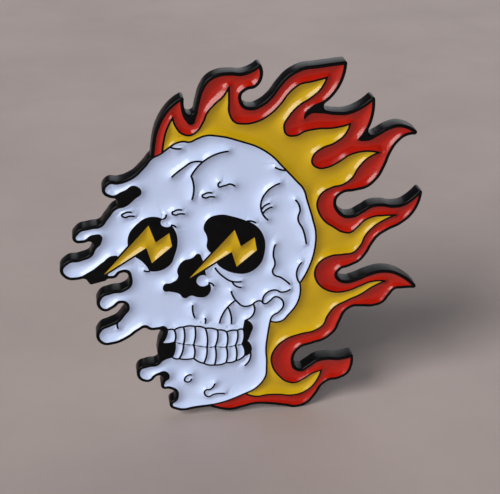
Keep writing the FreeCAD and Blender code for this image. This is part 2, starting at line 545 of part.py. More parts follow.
def make_plate_and_enamel():
    plate_outline, cells = artwork()
    blank = extruded(plate_outline, "plate_blank", "sizes.plate_thickness")
    tools = []
    for name, face in cells.items():
        pocket = extruded(face, name + "_pocket", "2 * sizes.cell_depth")
        bind(pocket, place_y="sizes.cell_depth - sizes.plate_thickness")
        tools.append(pocket)
        fill = extruded(face, name + "_fill", "sizes.cell_depth - sizes.enamel_drop")
        bind(fill, place_y="sizes.cell_depth - sizes.plate_thickness")
        finished(fill, name)
    for side, sign in SIDES.items():
        seat = doc.addObject("Part::Cylinder", side + "_seat")
        bind(
            seat,
            Radius="sizes.foot_diameter / 2 + sizes.seat_clearance",
            Height="2 * sizes.seat_depth",
            place_x=post_x(sign),
            place_y="-sizes.seat_depth",
            place_z="-sizes.post_drop",
        )
        seat.Placement.Rotation = FreeCAD.Rotation(V(0, 0, 1), BACKWARD)
        tools.append(seat)
    tool_group = doc.addObject("Part::Compound", "cells_and_seats")
    tool_group.Links = tools
    plate = doc.addObject("Part::Cut", "struck_plate")
    plate.Base = blank
    plate.Tool = tool_group
    finished(plate, "struck_plate")


# ---------------------------------------------------------------- posts and clutches

SIDES = {"left": -1, "right": 1}
POST_RADIUS = "sizes.post_diameter / 2"
HOLE_RADIUS = POST_RADIUS + " + sizes.post_clearance"
CUP_RADIUS = "sizes.cup_diameter / 2"
CUP_INSIDE = f"({CUP_RADIUS} - sizes.cup_wall)"
CAP_RADIUS = f"({CUP_INSIDE} + sizes.shelf_width)"
CAP_TOP = "(sizes.shelf_height + sizes.sheet_thickness)"
WIRE_TOP = "(sizes.sheet_thickness + sizes.wire_diameter)"
# the two jaw plates lie one above the other, between the spring and the cap
JAW_LEVELS = {
    "inner": f"({WIRE_TOP} + sizes.slide_clearance)",
    "outer": f"({WIRE_TOP} + 2 * sizes.slide_clearance + sizes.jaw_sheet)",
}


def post_x(sign):
    return f"{sign} * sizes.post_spacing / 2"


def make_post(side, sign):
    body = new_body(f"{side}_post", post_x(sign), "0", "-sizes.post_drop")
    groove_radius = f"({POST_RADIUS} - sizes.groove_depth)"
    groove_end = "(sizes.groove_start + sizes.groove_length)"
    profile = [
        ("0", "-sizes.seat_depth"),
        ("sizes.foot_diameter / 2", "-sizes.seat_depth"),
        ("sizes.foot_diameter / 2", "0"),
        (POST_RADIUS, "0"),
        (POST_RADIUS, "sizes.groove_start"),
        (groove_radius, "sizes.groove_start + sizes.groove_depth"),
        (groove_radius, f"{groove_end} - sizes.groove_depth"),
        (POST_RADIUS, groove_end),
        (POST_RADIUS, "sizes.post_length - sizes.point_length"),
        ("sizes.point_diameter / 2", "sizes.post_length"),
        ("0", "sizes.post_length"),
    ]
    revolve(body, sketch_polygon(body, "profile", "XY_Plane", profile))


def make_cup(side, sign):
    body = new_body(f"{side}_clutch_cup", post_x(sign), "sizes.clutch_stand", "-sizes.post_drop")
    seat_radius = f"{CAP_RADIUS} + sizes.fit_clearance"
    profile = [
        (HOLE_RADIUS, "0"),
        (CUP_RADIUS, "0"),
        (CUP_RADIUS, "sizes.cup_height"),
        (seat_radius, "sizes.cup_height"),
        (seat_radius, "sizes.shelf_height"),
        (CUP_INSIDE, "sizes.shelf_height"),
        (CUP_INSIDE, "sizes.sheet_thickness"),
        (HOLE_RADIUS, "sizes.sheet_thickness"),
    ]
    revolve(body, sketch_polygon(body, "profile", "XY_Plane", profile))


def make_cap(side, sign):
    body = new_body(f"{side}_clutch_cap", post_x(sign), "sizes.clutch_stand", "-sizes.post_drop")
    hub_radius = "sizes.hub_diameter / 2"
    profile = [
        (HOLE_RADIUS, "sizes.shelf_height"),
        (CAP_RADIUS, "sizes.shelf_height"),
        (CAP_RADIUS, CAP_TOP),
        (hub_radius, CAP_TOP),
        (f"{hub_radius} - sizes.hub_height", f"{CAP_TOP} + sizes.hub_height"),
        (HOLE_RADIUS, f"{CAP_TOP} + sizes.hub_height"),
    ]
    revolve(body, sketch_polygon(body, "profile", "XY_Plane", profile))
    doc.recompute()
    near = "(sizes.wing_offset - sizes.pinch_travel - sizes.slide_clearance)"
    far = "(sizes.wing_offset + sizes.jaw_sheet + sizes.slide_clearance)"
    half_slot = "(sizes.jaw_width / 2 + sizes.slide_clearance)"
    for name, way in (("inner", -1), ("outer", 1)):
        cut_through(body, name + "_slot", [
            (f"{way} * {near}", f"-{half_slot}"),
            (f"{way} * {far}", f"-{half_slot}"),
            (f"{way} * {far}", half_slot),
            (f"{way} * {near}", half_slot),
        ])


def make_spring(side, sign):
    spring = doc.addObject("Part::Torus", f"{side}_clutch_spring")
    spring.Placement.Rotation = FreeCAD.Rotation(V(0, 0, 1), BACKWARD)
    spring.Angle3 = 300
    bind(
        spring,
        Radius1="sizes.wire_ring_diameter / 2",
        Radius2="sizes.wire_diameter / 2",
        place_x=post_x(sign),
        place_y=f"sizes.clutch_stand + {WIRE_TOP} - sizes.wire_diameter / 2",
        place_z="-sizes.post_drop",
    )
    finished(spring, f"{side}_clutch_spring")


def make_wing(side, sign, name, way):
    """A jaw plate that lies in the cup, bent up through the cap's slot into a leaning wing."""
    body = new_body(f"{side}_clutch_{name}_wing", post_x(sign), "sizes.clutch_stand", "-sizes.post_drop")
    level = JAW_LEVELS[name]
    jaw_top = f"{level} + sizes.jaw_sheet"
    bend = f"{CAP_TOP} + sizes.hub_height"
    wing_face = f"{way} * (sizes.wing_offset"
    profile = [
        (f"{-way} * sizes.jaw_reach", level),
        (f"{wing_face} + sizes.jaw_sheet)", level),
        (f"{wing_face} + sizes.jaw_sheet)", bend),
        (f"{wing_face} + sizes.wing_lean + sizes.jaw_sheet)", "sizes.wing_height"),
        (f"{wing_face} + sizes.wing_lean)", "sizes.wing_height"),
        (f"{wing_face})", f"{bend} + sizes.jaw_sheet / 4"),
        (f"{wing_face})", jaw_top),
        (f"{-way} * sizes.jaw_reach", jaw_top),
    ]
    bent = body.newObject("PartDesign::Pad", "bent_sheet")
    bent.Profile = sketch_polygon(body, "profile", "XY_Plane", profile)
    bent.Midplane = True
    bind(bent, Length="sizes.jaw_width")
    doc.recompute()
    # pinching moves the plate away from its wing's side, so the hole is longer towards the wing
    hole = f"({HOLE_RADIUS})"
    cut_through(body, "post_hole", [
        (f"{-way} * {hole}", f"-{hole}"),
        (f"{way} * ({hole} + sizes.pinch_travel)", f"-{hole}"),
        (f"{way} * ({hole} + sizes.pinch_travel)", hole),
        (f"{-way} * {hole}", hole),
    ])


make_plate_and_enamel()
for side_name, side_sign in SIDES.items():
    make_post(side_name, side_sign)
    make_cup(side_name, side_sign)
    make_cap(side_name, side_sign)
    make_spring(side_name, side_sign)
    make_wing(side_name, side_sign, "inner", -side_sign)
    make_wing(side_name, side_sign, "outer", side_sign)


# ---------------------------------------------------------------- check and write

doc.recompute()
for feature in doc.Objects:
    if "Invalid" in feature.State or "Error" in feature.State:
        raise RuntimeError(f"{feature.Label} failed: {feature.State}")
for feature in parts:
    shape = feature.Shape
    if shape.isNull() or not shape.isValid() or len(shape.Solids) != 1:
        raise RuntimeError(f"{feature.Label} isn't one valid solid")

os.makedirs("parts", exist_ok=True)
for feature in parts:
    feature.Shape.exportStep(f"parts/{feature.Label}.step")
print(len(parts), "sub-parts written")
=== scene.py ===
"""The looks of an enamel pin: glossy enamel pools that climb their walls, black plated metal with rounded
lines, soldered posts and brass butterfly clutches, standing on a plain pale floor.

All lengths are metres in the shared frame: +Z up the artwork, the face looks along -Y, the posts point to +Y.
"""
from math import atan2, cos, pi, radians, sin, tan

import bmesh
import bpy
import numpy as np
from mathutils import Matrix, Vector, kdtree
from mathutils.geometry import delaunay_2d_cdt


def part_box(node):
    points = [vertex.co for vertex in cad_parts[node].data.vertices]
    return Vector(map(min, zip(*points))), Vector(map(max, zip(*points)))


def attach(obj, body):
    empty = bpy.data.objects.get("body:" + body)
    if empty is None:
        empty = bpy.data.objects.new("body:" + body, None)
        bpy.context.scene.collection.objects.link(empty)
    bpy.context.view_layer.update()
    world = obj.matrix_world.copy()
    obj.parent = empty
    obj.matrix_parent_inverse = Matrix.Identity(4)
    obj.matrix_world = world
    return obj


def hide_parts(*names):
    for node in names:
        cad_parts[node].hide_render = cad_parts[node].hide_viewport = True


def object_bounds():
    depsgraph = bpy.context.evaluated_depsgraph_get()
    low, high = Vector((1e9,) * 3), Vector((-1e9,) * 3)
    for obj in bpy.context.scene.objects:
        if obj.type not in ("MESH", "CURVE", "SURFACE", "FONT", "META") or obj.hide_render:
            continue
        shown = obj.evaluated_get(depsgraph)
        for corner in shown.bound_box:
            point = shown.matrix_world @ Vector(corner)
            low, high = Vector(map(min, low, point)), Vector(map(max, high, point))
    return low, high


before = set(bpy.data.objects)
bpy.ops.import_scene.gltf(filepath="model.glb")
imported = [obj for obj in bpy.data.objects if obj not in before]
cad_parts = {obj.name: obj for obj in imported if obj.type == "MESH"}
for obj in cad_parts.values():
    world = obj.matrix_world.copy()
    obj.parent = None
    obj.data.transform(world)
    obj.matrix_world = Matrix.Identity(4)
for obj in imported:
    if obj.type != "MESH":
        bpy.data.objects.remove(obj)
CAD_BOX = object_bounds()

MM = 0.001
ROOT = "pin"
PLATE = "struck_plate"
NOT_ENAMEL = ("plate", "post", "clutch")
ENAMEL = [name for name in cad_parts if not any(word in name for word in NOT_ENAMEL)]

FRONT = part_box(PLATE)[0].y
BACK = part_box(PLATE)[1].y
CELL_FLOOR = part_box("skull_face")[1].y
CAD_ENAMEL_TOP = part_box("skull_face")[0].y

# how the enamel lies in its cells: the open pool, where it ends on a wall, and how far from a wall it climbs
POOL_LEVEL = FRONT + 0.41 * MM
RIM_LEVEL = FRONT + 0.035 * MM
CLIMB_LENGTH = 0.42 * MM
SOFTENING = 0.15 * MM
# how finely the enamel is meshed: along its outlines, in its middle, and in rows beside its walls
OUTLINE_STEP = 0.13 * MM
GRID_STEP = 0.18 * MM
WALL_ROWS = (0.08 * MM, 0.17 * MM, 0.27 * MM, 0.39 * MM)
# roundings of the metal
LINE_ROUNDING = 0.055 * MM
FRONT_ROUNDING = 0.12 * MM
BACK_ROUNDING = 0.16 * MM
# outlines that turn by more than this keep a sharp corner there
CORNER_TURN = radians(28)
SHADING_CREASE = radians(38)
# vertices nearer than this are in one place, and points within this height are on one level
SAME_PLACE = 1e-4 * MM
SAME_LEVEL = 1e-3 * MM
# the clutch's sheet metal and the hole that the post goes through
SHEET = 0.3 * MM
BORE = 0.675 * MM


# ---------------------------------------------------------------- outlines read from the frame

def outlines_at(node, height, facing):
    """The closed outlines, as arrays of (x, z), of a CAD node's flat face at y = height that looks along
    facing Y. Seen from the front, the face is on the left of each outline."""
    facing_enough = 0.9
    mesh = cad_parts[node].data
    key_of = [tuple(round(c / SAME_PLACE) for c in v.co) for v in mesh.vertices]
    place = {key: (v.co.x, v.co.z) for key, v in zip(key_of, mesh.vertices)}
    edges = set()
    for polygon in mesh.polygons:
        corners = [mesh.vertices[i].co for i in polygon.vertices]
        turned_away = polygon.normal.y * facing < facing_enough
        if turned_away or any(abs(c.y - height) > SAME_LEVEL for c in corners):
            continue
        keys = [key_of[i] for i in polygon.vertices]
        edges.update((a, b) for a, b in zip(keys, keys[1:] + keys[:1]) if a != b)
    following = {a: b for a, b in edges if (b, a) not in edges}
    outlines = []
    while following:
        start = min(following)
        chain = [start]
        while following.get(chain[-1]) not in (None, start):
            chain.append(following.pop(chain[-1]))
        following.pop(chain[-1], None)
        outline = np.array([place[key] for key in chain])
        outlines.append(outline if facing < 0 else outline[::-1])
    return outlines


def enclosed_area(outline):
    x, z = outline.T
    return float(np.sum(x * np.roll(z, -1) - z * np.roll(x, -1))) / 2


def mirror(direction, chord):
    return 2 * np.dot(direction, chord) * chord - direction


def smoothed(outline, step):
    """The outline as an evenly stepped smooth curve that keeps its sharp corners."""
    ahead = np.roll(outline, -1, axis=0) - outline
    behind = np.roll(ahead, 1, axis=0)
    turn = np.arctan2(
        behind[:, 0] * ahead[:, 1] - behind[:, 1] * ahead[:, 0], np.sum(behind * ahead, axis=1)
    )
    sharp = np.abs(turn) > CORNER_TURN
    tangent = ahead + behind
    tangent /= np.linalg.norm(tangent, axis=1)[:, None]
    points = []
    for i in range(len(outline)):
        j = (i + 1) % len(outline)
        length = np.linalg.norm(ahead[i])
        chord = ahead[i] / length
        leaving = mirror(tangent[j], chord) if sharp[i] else tangent[i]
        arriving = mirror(tangent[i], chord) if sharp[j] else tangent[j]
        if sharp[i] and sharp[j]:
            leaving = arriving = chord
        count = max(1, round(length / step))
        for t in np.arange(count) / count:
            points.append(
                outline[i] * (1 + t * t * (2 * t - 3))
                + outline[j] * (t * t * (3 - 2 * t))
                + length * leaving * (t * (1 - t) ** 2)
                - length * arriving * (t * t * (1 - t))
            )
    return np.array(points)


def inset(outline, distance):
    """The outline moved to its left, with mitres cut short at sharp tips."""
    shortest_mitre = 0.3
    ahead = np.roll(outline, -1, axis=0) - outline
    ahead /= np.linalg.norm(ahead, axis=1)[:, None]
    behind = np.roll(ahead, 1, axis=0)
    left = np.stack([-(ahead + behind)[:, 1], (ahead + behind)[:, 0]], axis=1) / 2
    stretch = np.maximum(np.sum(left * left, axis=1), shortest_mitre)
    return outline + left / stretch[:, None] * distance


def circle(centre_x, centre_z, radius, count):
    angle = np.arange(count) / count * 2 * pi
    return np.stack([centre_x + radius * np.cos(angle), centre_z + radius * np.sin(angle)], axis=1)


def centre_of(node):
    """The middle of a CAD node's box, seen from the front, as (x, z)."""
    low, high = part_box(node)
    return (low.x + high.x) / 2, (low.z + high.z) / 2


# ---------------------------------------------------------------- mesh building

def mesh_piece(name, vertices, faces, material, smooth=True):
    mesh = bpy.data.meshes.new(name)
    mesh.from_pydata([tuple(v) for v in vertices], [], [tuple(f) for f in faces])
    mesh.validate()
    for polygon in mesh.polygons:
        polygon.use_smooth = smooth
    mesh.materials.append(material)
    piece = bpy.data.objects.new(name, mesh)
    bpy.context.scene.collection.objects.link(piece)
    return piece


def joined(piece, turn_outward=False):
    """Merge the vertices that lie in one place; sharp edges stay sharp under smooth shading."""
    work = bmesh.new()
    work.from_mesh(piece.data)
    bmesh.ops.remove_doubles(work, verts=work.verts, dist=SAME_PLACE)
    if turn_outward:
        bmesh.ops.recalc_face_normals(work, faces=work.faces)
    work.to_mesh(piece.data)
    work.free()
    piece.data.set_sharp_from_angle(angle=SHADING_CREASE)
    return piece


def hand_over(piece, node, body):
    """The piece is shown in place of its CAD node and moves with the body."""
    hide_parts(node)
    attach(piece, body)


def band(low, high, count):
    """Faces between two rings of count vertices, which start at the vertex numbers low and high."""
    faces = []
    for i in range(count):
        j = (i + 1) % count
        faces.append((low + i, low + j, high + j, high + i))
    return faces


def triangulated(outlines, inner_points=()):
    """Points (x, z), the triangles that fill the outlines with their holes left open, and which points lie on
    an outline."""
    points = []
    edges = []
    for outline in outlines:
        start, count = len(points), len(outline)
        points += [Vector(p / MM) for p in outline]
        edges += [(start + i, start + (i + 1) % count) for i in range(count)]
    outline_count = len(points)
    points += [Vector((x / MM, z / MM)) for x, z in inner_points]
    corners, pairs_made, faces_made, from_points, from_edges, _ = delaunay_2d_cdt(
        points, edges, [], 0, 1e-6, True
    )
    # the triangulation fills the whole hull; crossing an outline turns outside into inside and back
    walls = {tuple(sorted(pair)) for pair, origins in zip(pairs_made, from_edges) if len(origins) % 2}
    sides = [[tuple(sorted(pair)) for pair in zip(face, face[1:] + face[:1])] for face in faces_made]
    sharing = {}
    for t, pairs in enumerate(sides):
        for pair in pairs:
            sharing.setdefault(pair, []).append(t)
    inside = {}
    for pair, faces in sharing.items():
        if len(faces) == 1:
            inside[faces[0]] = pair in walls
    queue = list(inside)
    while queue:
        t = queue.pop()
        for pair in sides[t]:
            for other in sharing[pair]:
                if other not in inside:
                    inside[other] = inside[t] != (pair in walls)
                    queue.append(other)
    placed = np.array([(v.x, v.y) for v in corners]) * MM
    triangles = []
    for t, face in enumerate(faces_made):
        if inside[t]:
            a, b, c = (placed[i] for i in face)
            leftward = (b[0] - a[0]) * (c[1] - a[1]) - (b[1] - a[1]) * (c[0] - a[0])
            triangles.append(tuple(face) if leftward > 0 else tuple(reversed(face)))
    on_outline = np.array([any(i < outline_count for i in origins) for origins in from_points])
    return placed, triangles, on_outline


class Builder:
    """Collects vertices and faces of one piece."""

    def __init__(self):
        self.vertices = []
        self.faces = []

    def add_ring(self, outline, y):
        start = len(self.vertices)
        self.vertices += [(x, y, z) for x, z in outline]
        return start

    def wall(self, outline, profile):
        """A wall along an outline whose metal is on the left. profile runs from back to front: (inset, y)."""
        rings = [self.add_ring(inset(outline, depth) if depth else outline, y) for depth, y in profile]
        for low, high in zip(rings, rings[1:]):
            self.faces += band(low, high, len(outline))

    def sheet(self, outlines, y, facing):
        """A flat face inside outlines that looks along facing Y."""
        placed, triangles, _ = triangulated(outlines)
        start = self.add_ring(placed, y)
        for triangle in triangles:
            corners = triangle if facing < 0 else tuple(reversed(triangle))
            self.faces.append(tuple(start + i for i in corners))


def rounding(radius, flat, way=1, steps=3):
    """Wall profile from an upright wall over a rounded edge to the flat face at y = flat."""
    angles = [pi / 2 * k / steps for k in range(steps + 1)]
    return [(radius * (1 - cos(a)), flat + way * radius * (1 - sin(a))) for a in angles]


def rounded(corners, radii, closed=True, steps=5):
    """A line or loop of straight stretches with each corner turned by its radius."""
    points = []
    count = len(corners)
    for i, radius in enumerate(radii):
        corner = Vector(corners[i])
        if radius == 0 or (not closed and i in (0, count - 1)):
            points.append(tuple(corner))
            continue
        back = (Vector(corners[i - 1]) - corner).normalized()
        ahead = (Vector(corners[(i + 1) % count]) - corner).normalized()
        half = back.angle(ahead) / 2
        centre = corner + (back + ahead).normalized() * radius / sin(half)
        spoke = corner + back * radius / tan(half) - centre
        last = corner + ahead * radius / tan(half) - centre
        start = atan2(spoke.y, spoke.x)
        sweep = atan2(spoke.x * last.y - spoke.y * last.x, spoke.dot(last))
        for k in range(steps + 1):
            angle = start + sweep * k / steps
            points.append((centre.x + radius * cos(angle), centre.y + radius * sin(angle)))
    return points


def profile_of(stretches, closed=True):
    """A rounded line or loop from (across, y, radius in mm) rows."""
    corners = [(across, y) for across, y, _ in stretches]
    return rounded(corners, [turn * MM for _, _, turn in stretches], closed)


def lathe(name, centre, profile, material, closed=True, segments=96):
    """A piece turned about the line through centre (x, z) along Y. profile holds (radius, y) pairs."""
    vertices = []
    for radius, y in profile:
        vertices += [(x, y, z) for x, z in circle(*centre, radius, segments)]
    faces = []
    rows = len(profile)
    for row in range(rows if closed else rows - 1):
        faces += band(row * segments, (row + 1) % rows * segments, segments)
    return joined(mesh_piece(name, vertices, faces, material), turn_outward=True)


# ---------------------------------------------------------------- materials

def new_material(name):
    material = bpy.data.materials.new(name)
    material.use_nodes = True
    nodes = material.node_tree.nodes
    return material, nodes, material.node_tree.links, nodes["Principled BSDF"]


def add_node(nodes, kind, **settings):
    node = nodes.new(kind)
    for key, value in settings.items():
        if key in node.inputs:
            node.inputs[key].default_value = value
        else:
            setattr(node, key, value)
    return node


def colour_ramp(nodes, stops):
    ramp = nodes.new("ShaderNodeValToRGB")
    elements = ramp.color_ramp.elements
    while len(elements) < len(stops):
        elements.new(0.5)
    for element, (position, colour) in zip(elements, stops):
        element.position = position
        element.color = (*colour, 1.0)
    return ramp


def object_space(nodes):
    return nodes.new("ShaderNodeTexCoord").outputs["Object"]


def noise(nodes, links, scale, detail=3.0, roughness=0.5):
    """Noise whose scale is in features per metre."""
    texture = add_node(nodes, "ShaderNodeTexNoise", Scale=scale, Detail=detail, Roughness=roughness)
    links.new(object_space(nodes), texture.inputs["Vector"])
    return texture.outputs["Fac"]


def mapped(nodes, links, value, low, high):
    spread = nodes.new("ShaderNodeMapRange")
    spread.inputs["To Min"].default_value = low
    spread.inputs["To Max"].default_value = high
    links.new(value, spread.inputs["Value"])
    return spread.outputs["Result"]


def bump(nodes, links, shader, height, strength, distance, before=None):
    node = add_node(nodes, "ShaderNodeBump", Strength=strength, Distance=distance)
    links.new(height, node.inputs["Height"])
    if before is not None:
        links.new(before, node.inputs["Normal"])
    links.new(node.outputs["Normal"], shader.inputs["Normal"])
    return node.outputs["Normal"]


def enamel_material(name, thin, thick):
    """Glossy baked enamel: slightly uneven pigment, a faint orange-peel surface and a few specks of dust."""
    material, nodes, links, shader = new_material(name)
    tone = colour_ramp(nodes, [(0.35, thin), (0.65, thick)])
    links.new(noise(nodes, links, scale=260, detail=4), tone.inputs["Fac"])
    specks = add_node(nodes, "ShaderNodeTexVoronoi", Scale=230.0)
    links.new(object_space(nodes), specks.inputs["Vector"])
    dots = colour_ramp(nodes, [(0.012, (0.6, 0.6, 0.6)), (0.024, (0, 0, 0))])
    links.new(specks.outputs["Distance"], dots.inputs["Fac"])
    dusted = add_node(nodes, "ShaderNodeMix", data_type="RGBA")
    links.new(dots.outputs["Color"], dusted.inputs["Factor"])
    links.new(tone.outputs["Color"], dusted.inputs["A"])
    dust_colour = (0.75, 0.66, 0.58, 1.0)
    dusted.inputs["B"].default_value = dust_colour
    links.new(dusted.outputs["Result"], shader.inputs["Base Color"])
    gloss = mapped(nodes, links, noise(nodes, links, scale=900), low=0.12, high=0.19)
    links.new(gloss, shader.inputs["Roughness"])
    shader.inputs["IOR"].default_value = 1.5
    waves = noise(nodes, links, scale=700, detail=2)
    peel = bump(nodes, links, shader, waves, strength=0.12, distance=0.03 * MM)
    bump(nodes, links, shader, dots.outputs["Color"], strength=0.3, distance=0.03 * MM, before=peel)
    return material


def metal_material(name, dark, light, roughness, scratch_scale):
    """Bare metal with faint tarnish and fine rubbed scratches."""
    material, nodes, links, shader = new_material(name)
    tone = colour_ramp(nodes, [(0.3, dark), (0.7, light)])
    links.new(noise(nodes, links, scale=600, detail=5, roughness=0.6), tone.inputs["Fac"])
    links.new(tone.outputs["Color"], shader.inputs["Base Color"])
    shader.inputs["Metallic"].default_value = 1.0
    patches = noise(nodes, links, scale=1500, detail=4)
    links.new(mapped(nodes, links, patches, roughness, roughness + 0.16), shader.inputs["Roughness"])
    scratches = noise(nodes, links, scale=scratch_scale, detail=5, roughness=0.7)
    bump(nodes, links, shader, scratches, strength=0.15, distance=0.01 * MM)
    return material


def plating_material(name, grain):
    """Black plated zinc: dark, half glossy, with fine polishing unevenness."""
    material, nodes, links, shader = new_material(name)
    tone = colour_ramp(nodes, [(0.3, (0.0011, 0.0012, 0.0015)), (0.75, (0.003, 0.003, 0.0038))])
    links.new(noise(nodes, links, scale=1200, detail=5, roughness=0.65), tone.inputs["Fac"])
    links.new(tone.outputs["Color"], shader.inputs["Base Color"])
    gloss = mapped(nodes, links, noise(nodes, links, scale=2500), low=0.22, high=0.42)
    links.new(gloss, shader.inputs["Roughness"])
    shader.inputs["Specular IOR Level"].default_value = 0.12
    bump(nodes, links, shader, noise(nodes, links, scale=3500, detail=4), grain, distance=0.02 * MM)
    return material


# ---------------------------------------------------------------- plate and enamel

def cell_outlines():
    """Each enamel cell's smoothed outlines, with the enamel on their left."""
    found = {}
    for node in ENAMEL:
        found[node] = [smoothed(o, OUTLINE_STEP) for o in outlines_at(node, CAD_ENAMEL_TOP, -1)]
    return found


def make_plate(cells, material, back_material):
    """The struck plate with rounded lines, an edge rounded front and back, and seats for the posts."""
    build = Builder()
    rim = smoothed(max(outlines_at(PLATE, FRONT, -1), key=enclosed_area), OUTLINE_STEP)
    build.wall(rim, rounding(BACK_ROUNDING, BACK, way=-1)[::-1] + rounding(FRONT_ROUNDING, FRONT))
    tops = [inset(rim, FRONT_ROUNDING)]
    for outlines in cells.values():
        for outline in outlines:
            metal_side = outline[::-1]
            build.wall(metal_side, [(0.0, CELL_FLOOR)] + rounding(LINE_ROUNDING, FRONT))
            tops.append(inset(metal_side, LINE_ROUNDING))
    build.sheet(tops, FRONT, -1)
    front_faces = len(build.faces)
    seats = []
    seat_gap = 0.05 * MM
    seat_segments = 72
    for side in ("left", "right"):
        low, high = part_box(f"{side}_post")
        foot = (high.x - low.x) / 2
        seats.append(circle(*centre_of(f"{side}_post"), foot + seat_gap, seat_segments))
    build.sheet([inset(rim, BACK_ROUNDING)] + seats, BACK, 1)
    piece = mesh_piece("plated_plate", build.vertices, build.faces, material)
    piece.data.materials.append(back_material)
    for polygon in piece.data.polygons[front_faces:]:
        polygon.material_index = 1
    hand_over(joined(piece), PLATE, ROOT)


def grid_inside(outlines, step):
    """Points of a triangular grid inside the outlines."""
    starts = np.concatenate(outlines)
    ends = np.concatenate([np.roll(o, -1, axis=0) for o in outlines])
    low, high = starts.min(axis=0), starts.max(axis=0)
    row_height = 0.866 * step  # of triangles with three equal sides
    points = []
    for row, z in enumerate(np.arange(low[1] + step / 3, high[1], row_height)):
        crossing = (starts[:, 1] > z) != (ends[:, 1] > z)
        a, b = starts[crossing], ends[crossing]
        xs = np.sort(a[:, 0] + (z - a[:, 1]) / (b[:, 1] - a[:, 1]) * (b[:, 0] - a[:, 0]))
        shift = step / 2 * (row % 2)
        for first, last in zip(xs[::2], xs[1::2]):
            columns = np.arange(np.ceil((first - shift) / step), np.floor((last - shift) / step) + 1)
            points += [(c * step + shift, z) for c in columns]
    return points


def wall_pull(points, walls):
    """How strongly the walls pull on each point, and the wall point nearest to it."""
    group_size = 500
    pull = np.empty(len(points))
    nearest = np.empty(len(points), int)
    for start in range(0, len(points), group_size):
        group = slice(start, start + group_size)
        reach = np.linalg.norm(points[group, None] - walls[None], axis=2)
        pull[group] = np.sum(np.exp(-reach / SOFTENING), axis=1)
        nearest[group] = np.argmin(reach, axis=1)
    return pull, nearest


def climb_at(points, walls):
    """How far the enamel has climbed at each point, from 1 at a wall down to 0 in the open pool. The walls'
    pull stands for the distance to them, so that pools between two walls have no crease."""
    pull, nearest = wall_pull(points, walls)
    at_wall = wall_pull(walls, walls)[0]
    return np.minimum(pull / at_wall[nearest], 1) ** (SOFTENING / CLIMB_LENGTH)


def make_enamel(node, outlines, material):
    """One pool of enamel: a surface that climbs its walls, and a skirt down to the cell's floor."""
    walls = np.concatenate(outlines)
    tree = kdtree.KDTree(len(walls))
    for i, (x, z) in enumerate(walls):
        tree.insert((x, z, 0), i)
    tree.balance()
    # a row's point is left out where another wall is nearer than its own, as in narrow places
    nearest_kept = 0.93
    inner = []
    for distance in WALL_ROWS:
        rows = np.concatenate([inset(outline, distance) for outline in outlines])
        inner += [p for p in rows if tree.find((*p, 0))[2] > nearest_kept * distance]
    clear = WALL_ROWS[-1] + 0.5 * GRID_STEP
    inner += [p for p in grid_inside(outlines, GRID_STEP) if tree.find((*p, 0))[2] > clear]
    placed, triangles, on_wall = triangulated(outlines, inner)
    climb = np.where(on_wall, 1, climb_at(placed, walls))
    y = POOL_LEVEL + (RIM_LEVEL - POOL_LEVEL) * climb
    build = Builder()
    build.vertices = [(x, level, z) for (x, z), level in zip(placed, y)]
    build.faces = list(triangles)
    for outline in outlines:
        build.wall(outline, [(0.0, CELL_FLOOR), (0.0, RIM_LEVEL)])
    hand_over(mesh_piece(node + "_enamel", build.vertices, build.faces, material), node, ROOT)


# ---------------------------------------------------------------- posts and clutches

def make_post(side, material):
    """A post with a soldered foot, a groove that the jaws snap into and a blunt point."""
    node = f"{side}_post"
    low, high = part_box(node)
    foot = (high.x - low.x) / 2
    shaft = 0.575 * MM
    fillet = 0.42 * MM
    solder_edge = 0.05 * MM
    groove_depth = 0.16 * MM
    groove_start = 4.9 * MM
    groove_end = 6.4 * MM
    point_length = 1.8 * MM
    point_radius = 0.17 * MM
    point_cap = 0.05 * MM
    neck = shaft - groove_depth
    profile = profile_of([
        (0, low.y, 0),
        (foot, low.y, 0),
        (foot, BACK, 0.04),
        (shaft + fillet, BACK + solder_edge, 0.3),
        (shaft, BACK + fillet, 0.3),
        (shaft, groove_start, 0.08),
        (neck, groove_start + groove_depth, 0.06),
        (neck, groove_end - groove_depth, 0.06),
        (shaft, groove_end, 0.08),
        (shaft, high.y - point_length, 1.2),
        (point_radius, high.y - point_cap, 0.06),
        (0, high.y, 0),
    ], closed=False)
    hand_over(lathe(node + "_turned", centre_of(node), profile, material, closed=False), node, ROOT)


def make_cup(side, material):
    """A drawn cup whose rim stands round the cap."""
    node = f"{side}_clutch_cup"
    low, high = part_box(node)
    outside = (high.x - low.x) / 2
    inside = outside - 0.5 * MM
    seat = outside - 0.24 * MM
    floor = low.y + 0.38 * MM
    shelf = low.y + 1.62 * MM
    profile = profile_of([
        (BORE, low.y, 0.12),
        (outside, low.y, 0.5),
        (outside, high.y, 0.11),
        (seat, high.y, 0.11),
        (seat, shelf, 0),
        (inside, shelf, 0.04),
        (inside, floor, 0.25),
        (BORE, floor, 0.05),
    ])
    piece = lathe(node + "_drawn", centre_of(node), profile, material, segments=128)
    hand_over(piece, node, f"{side}_clutch")


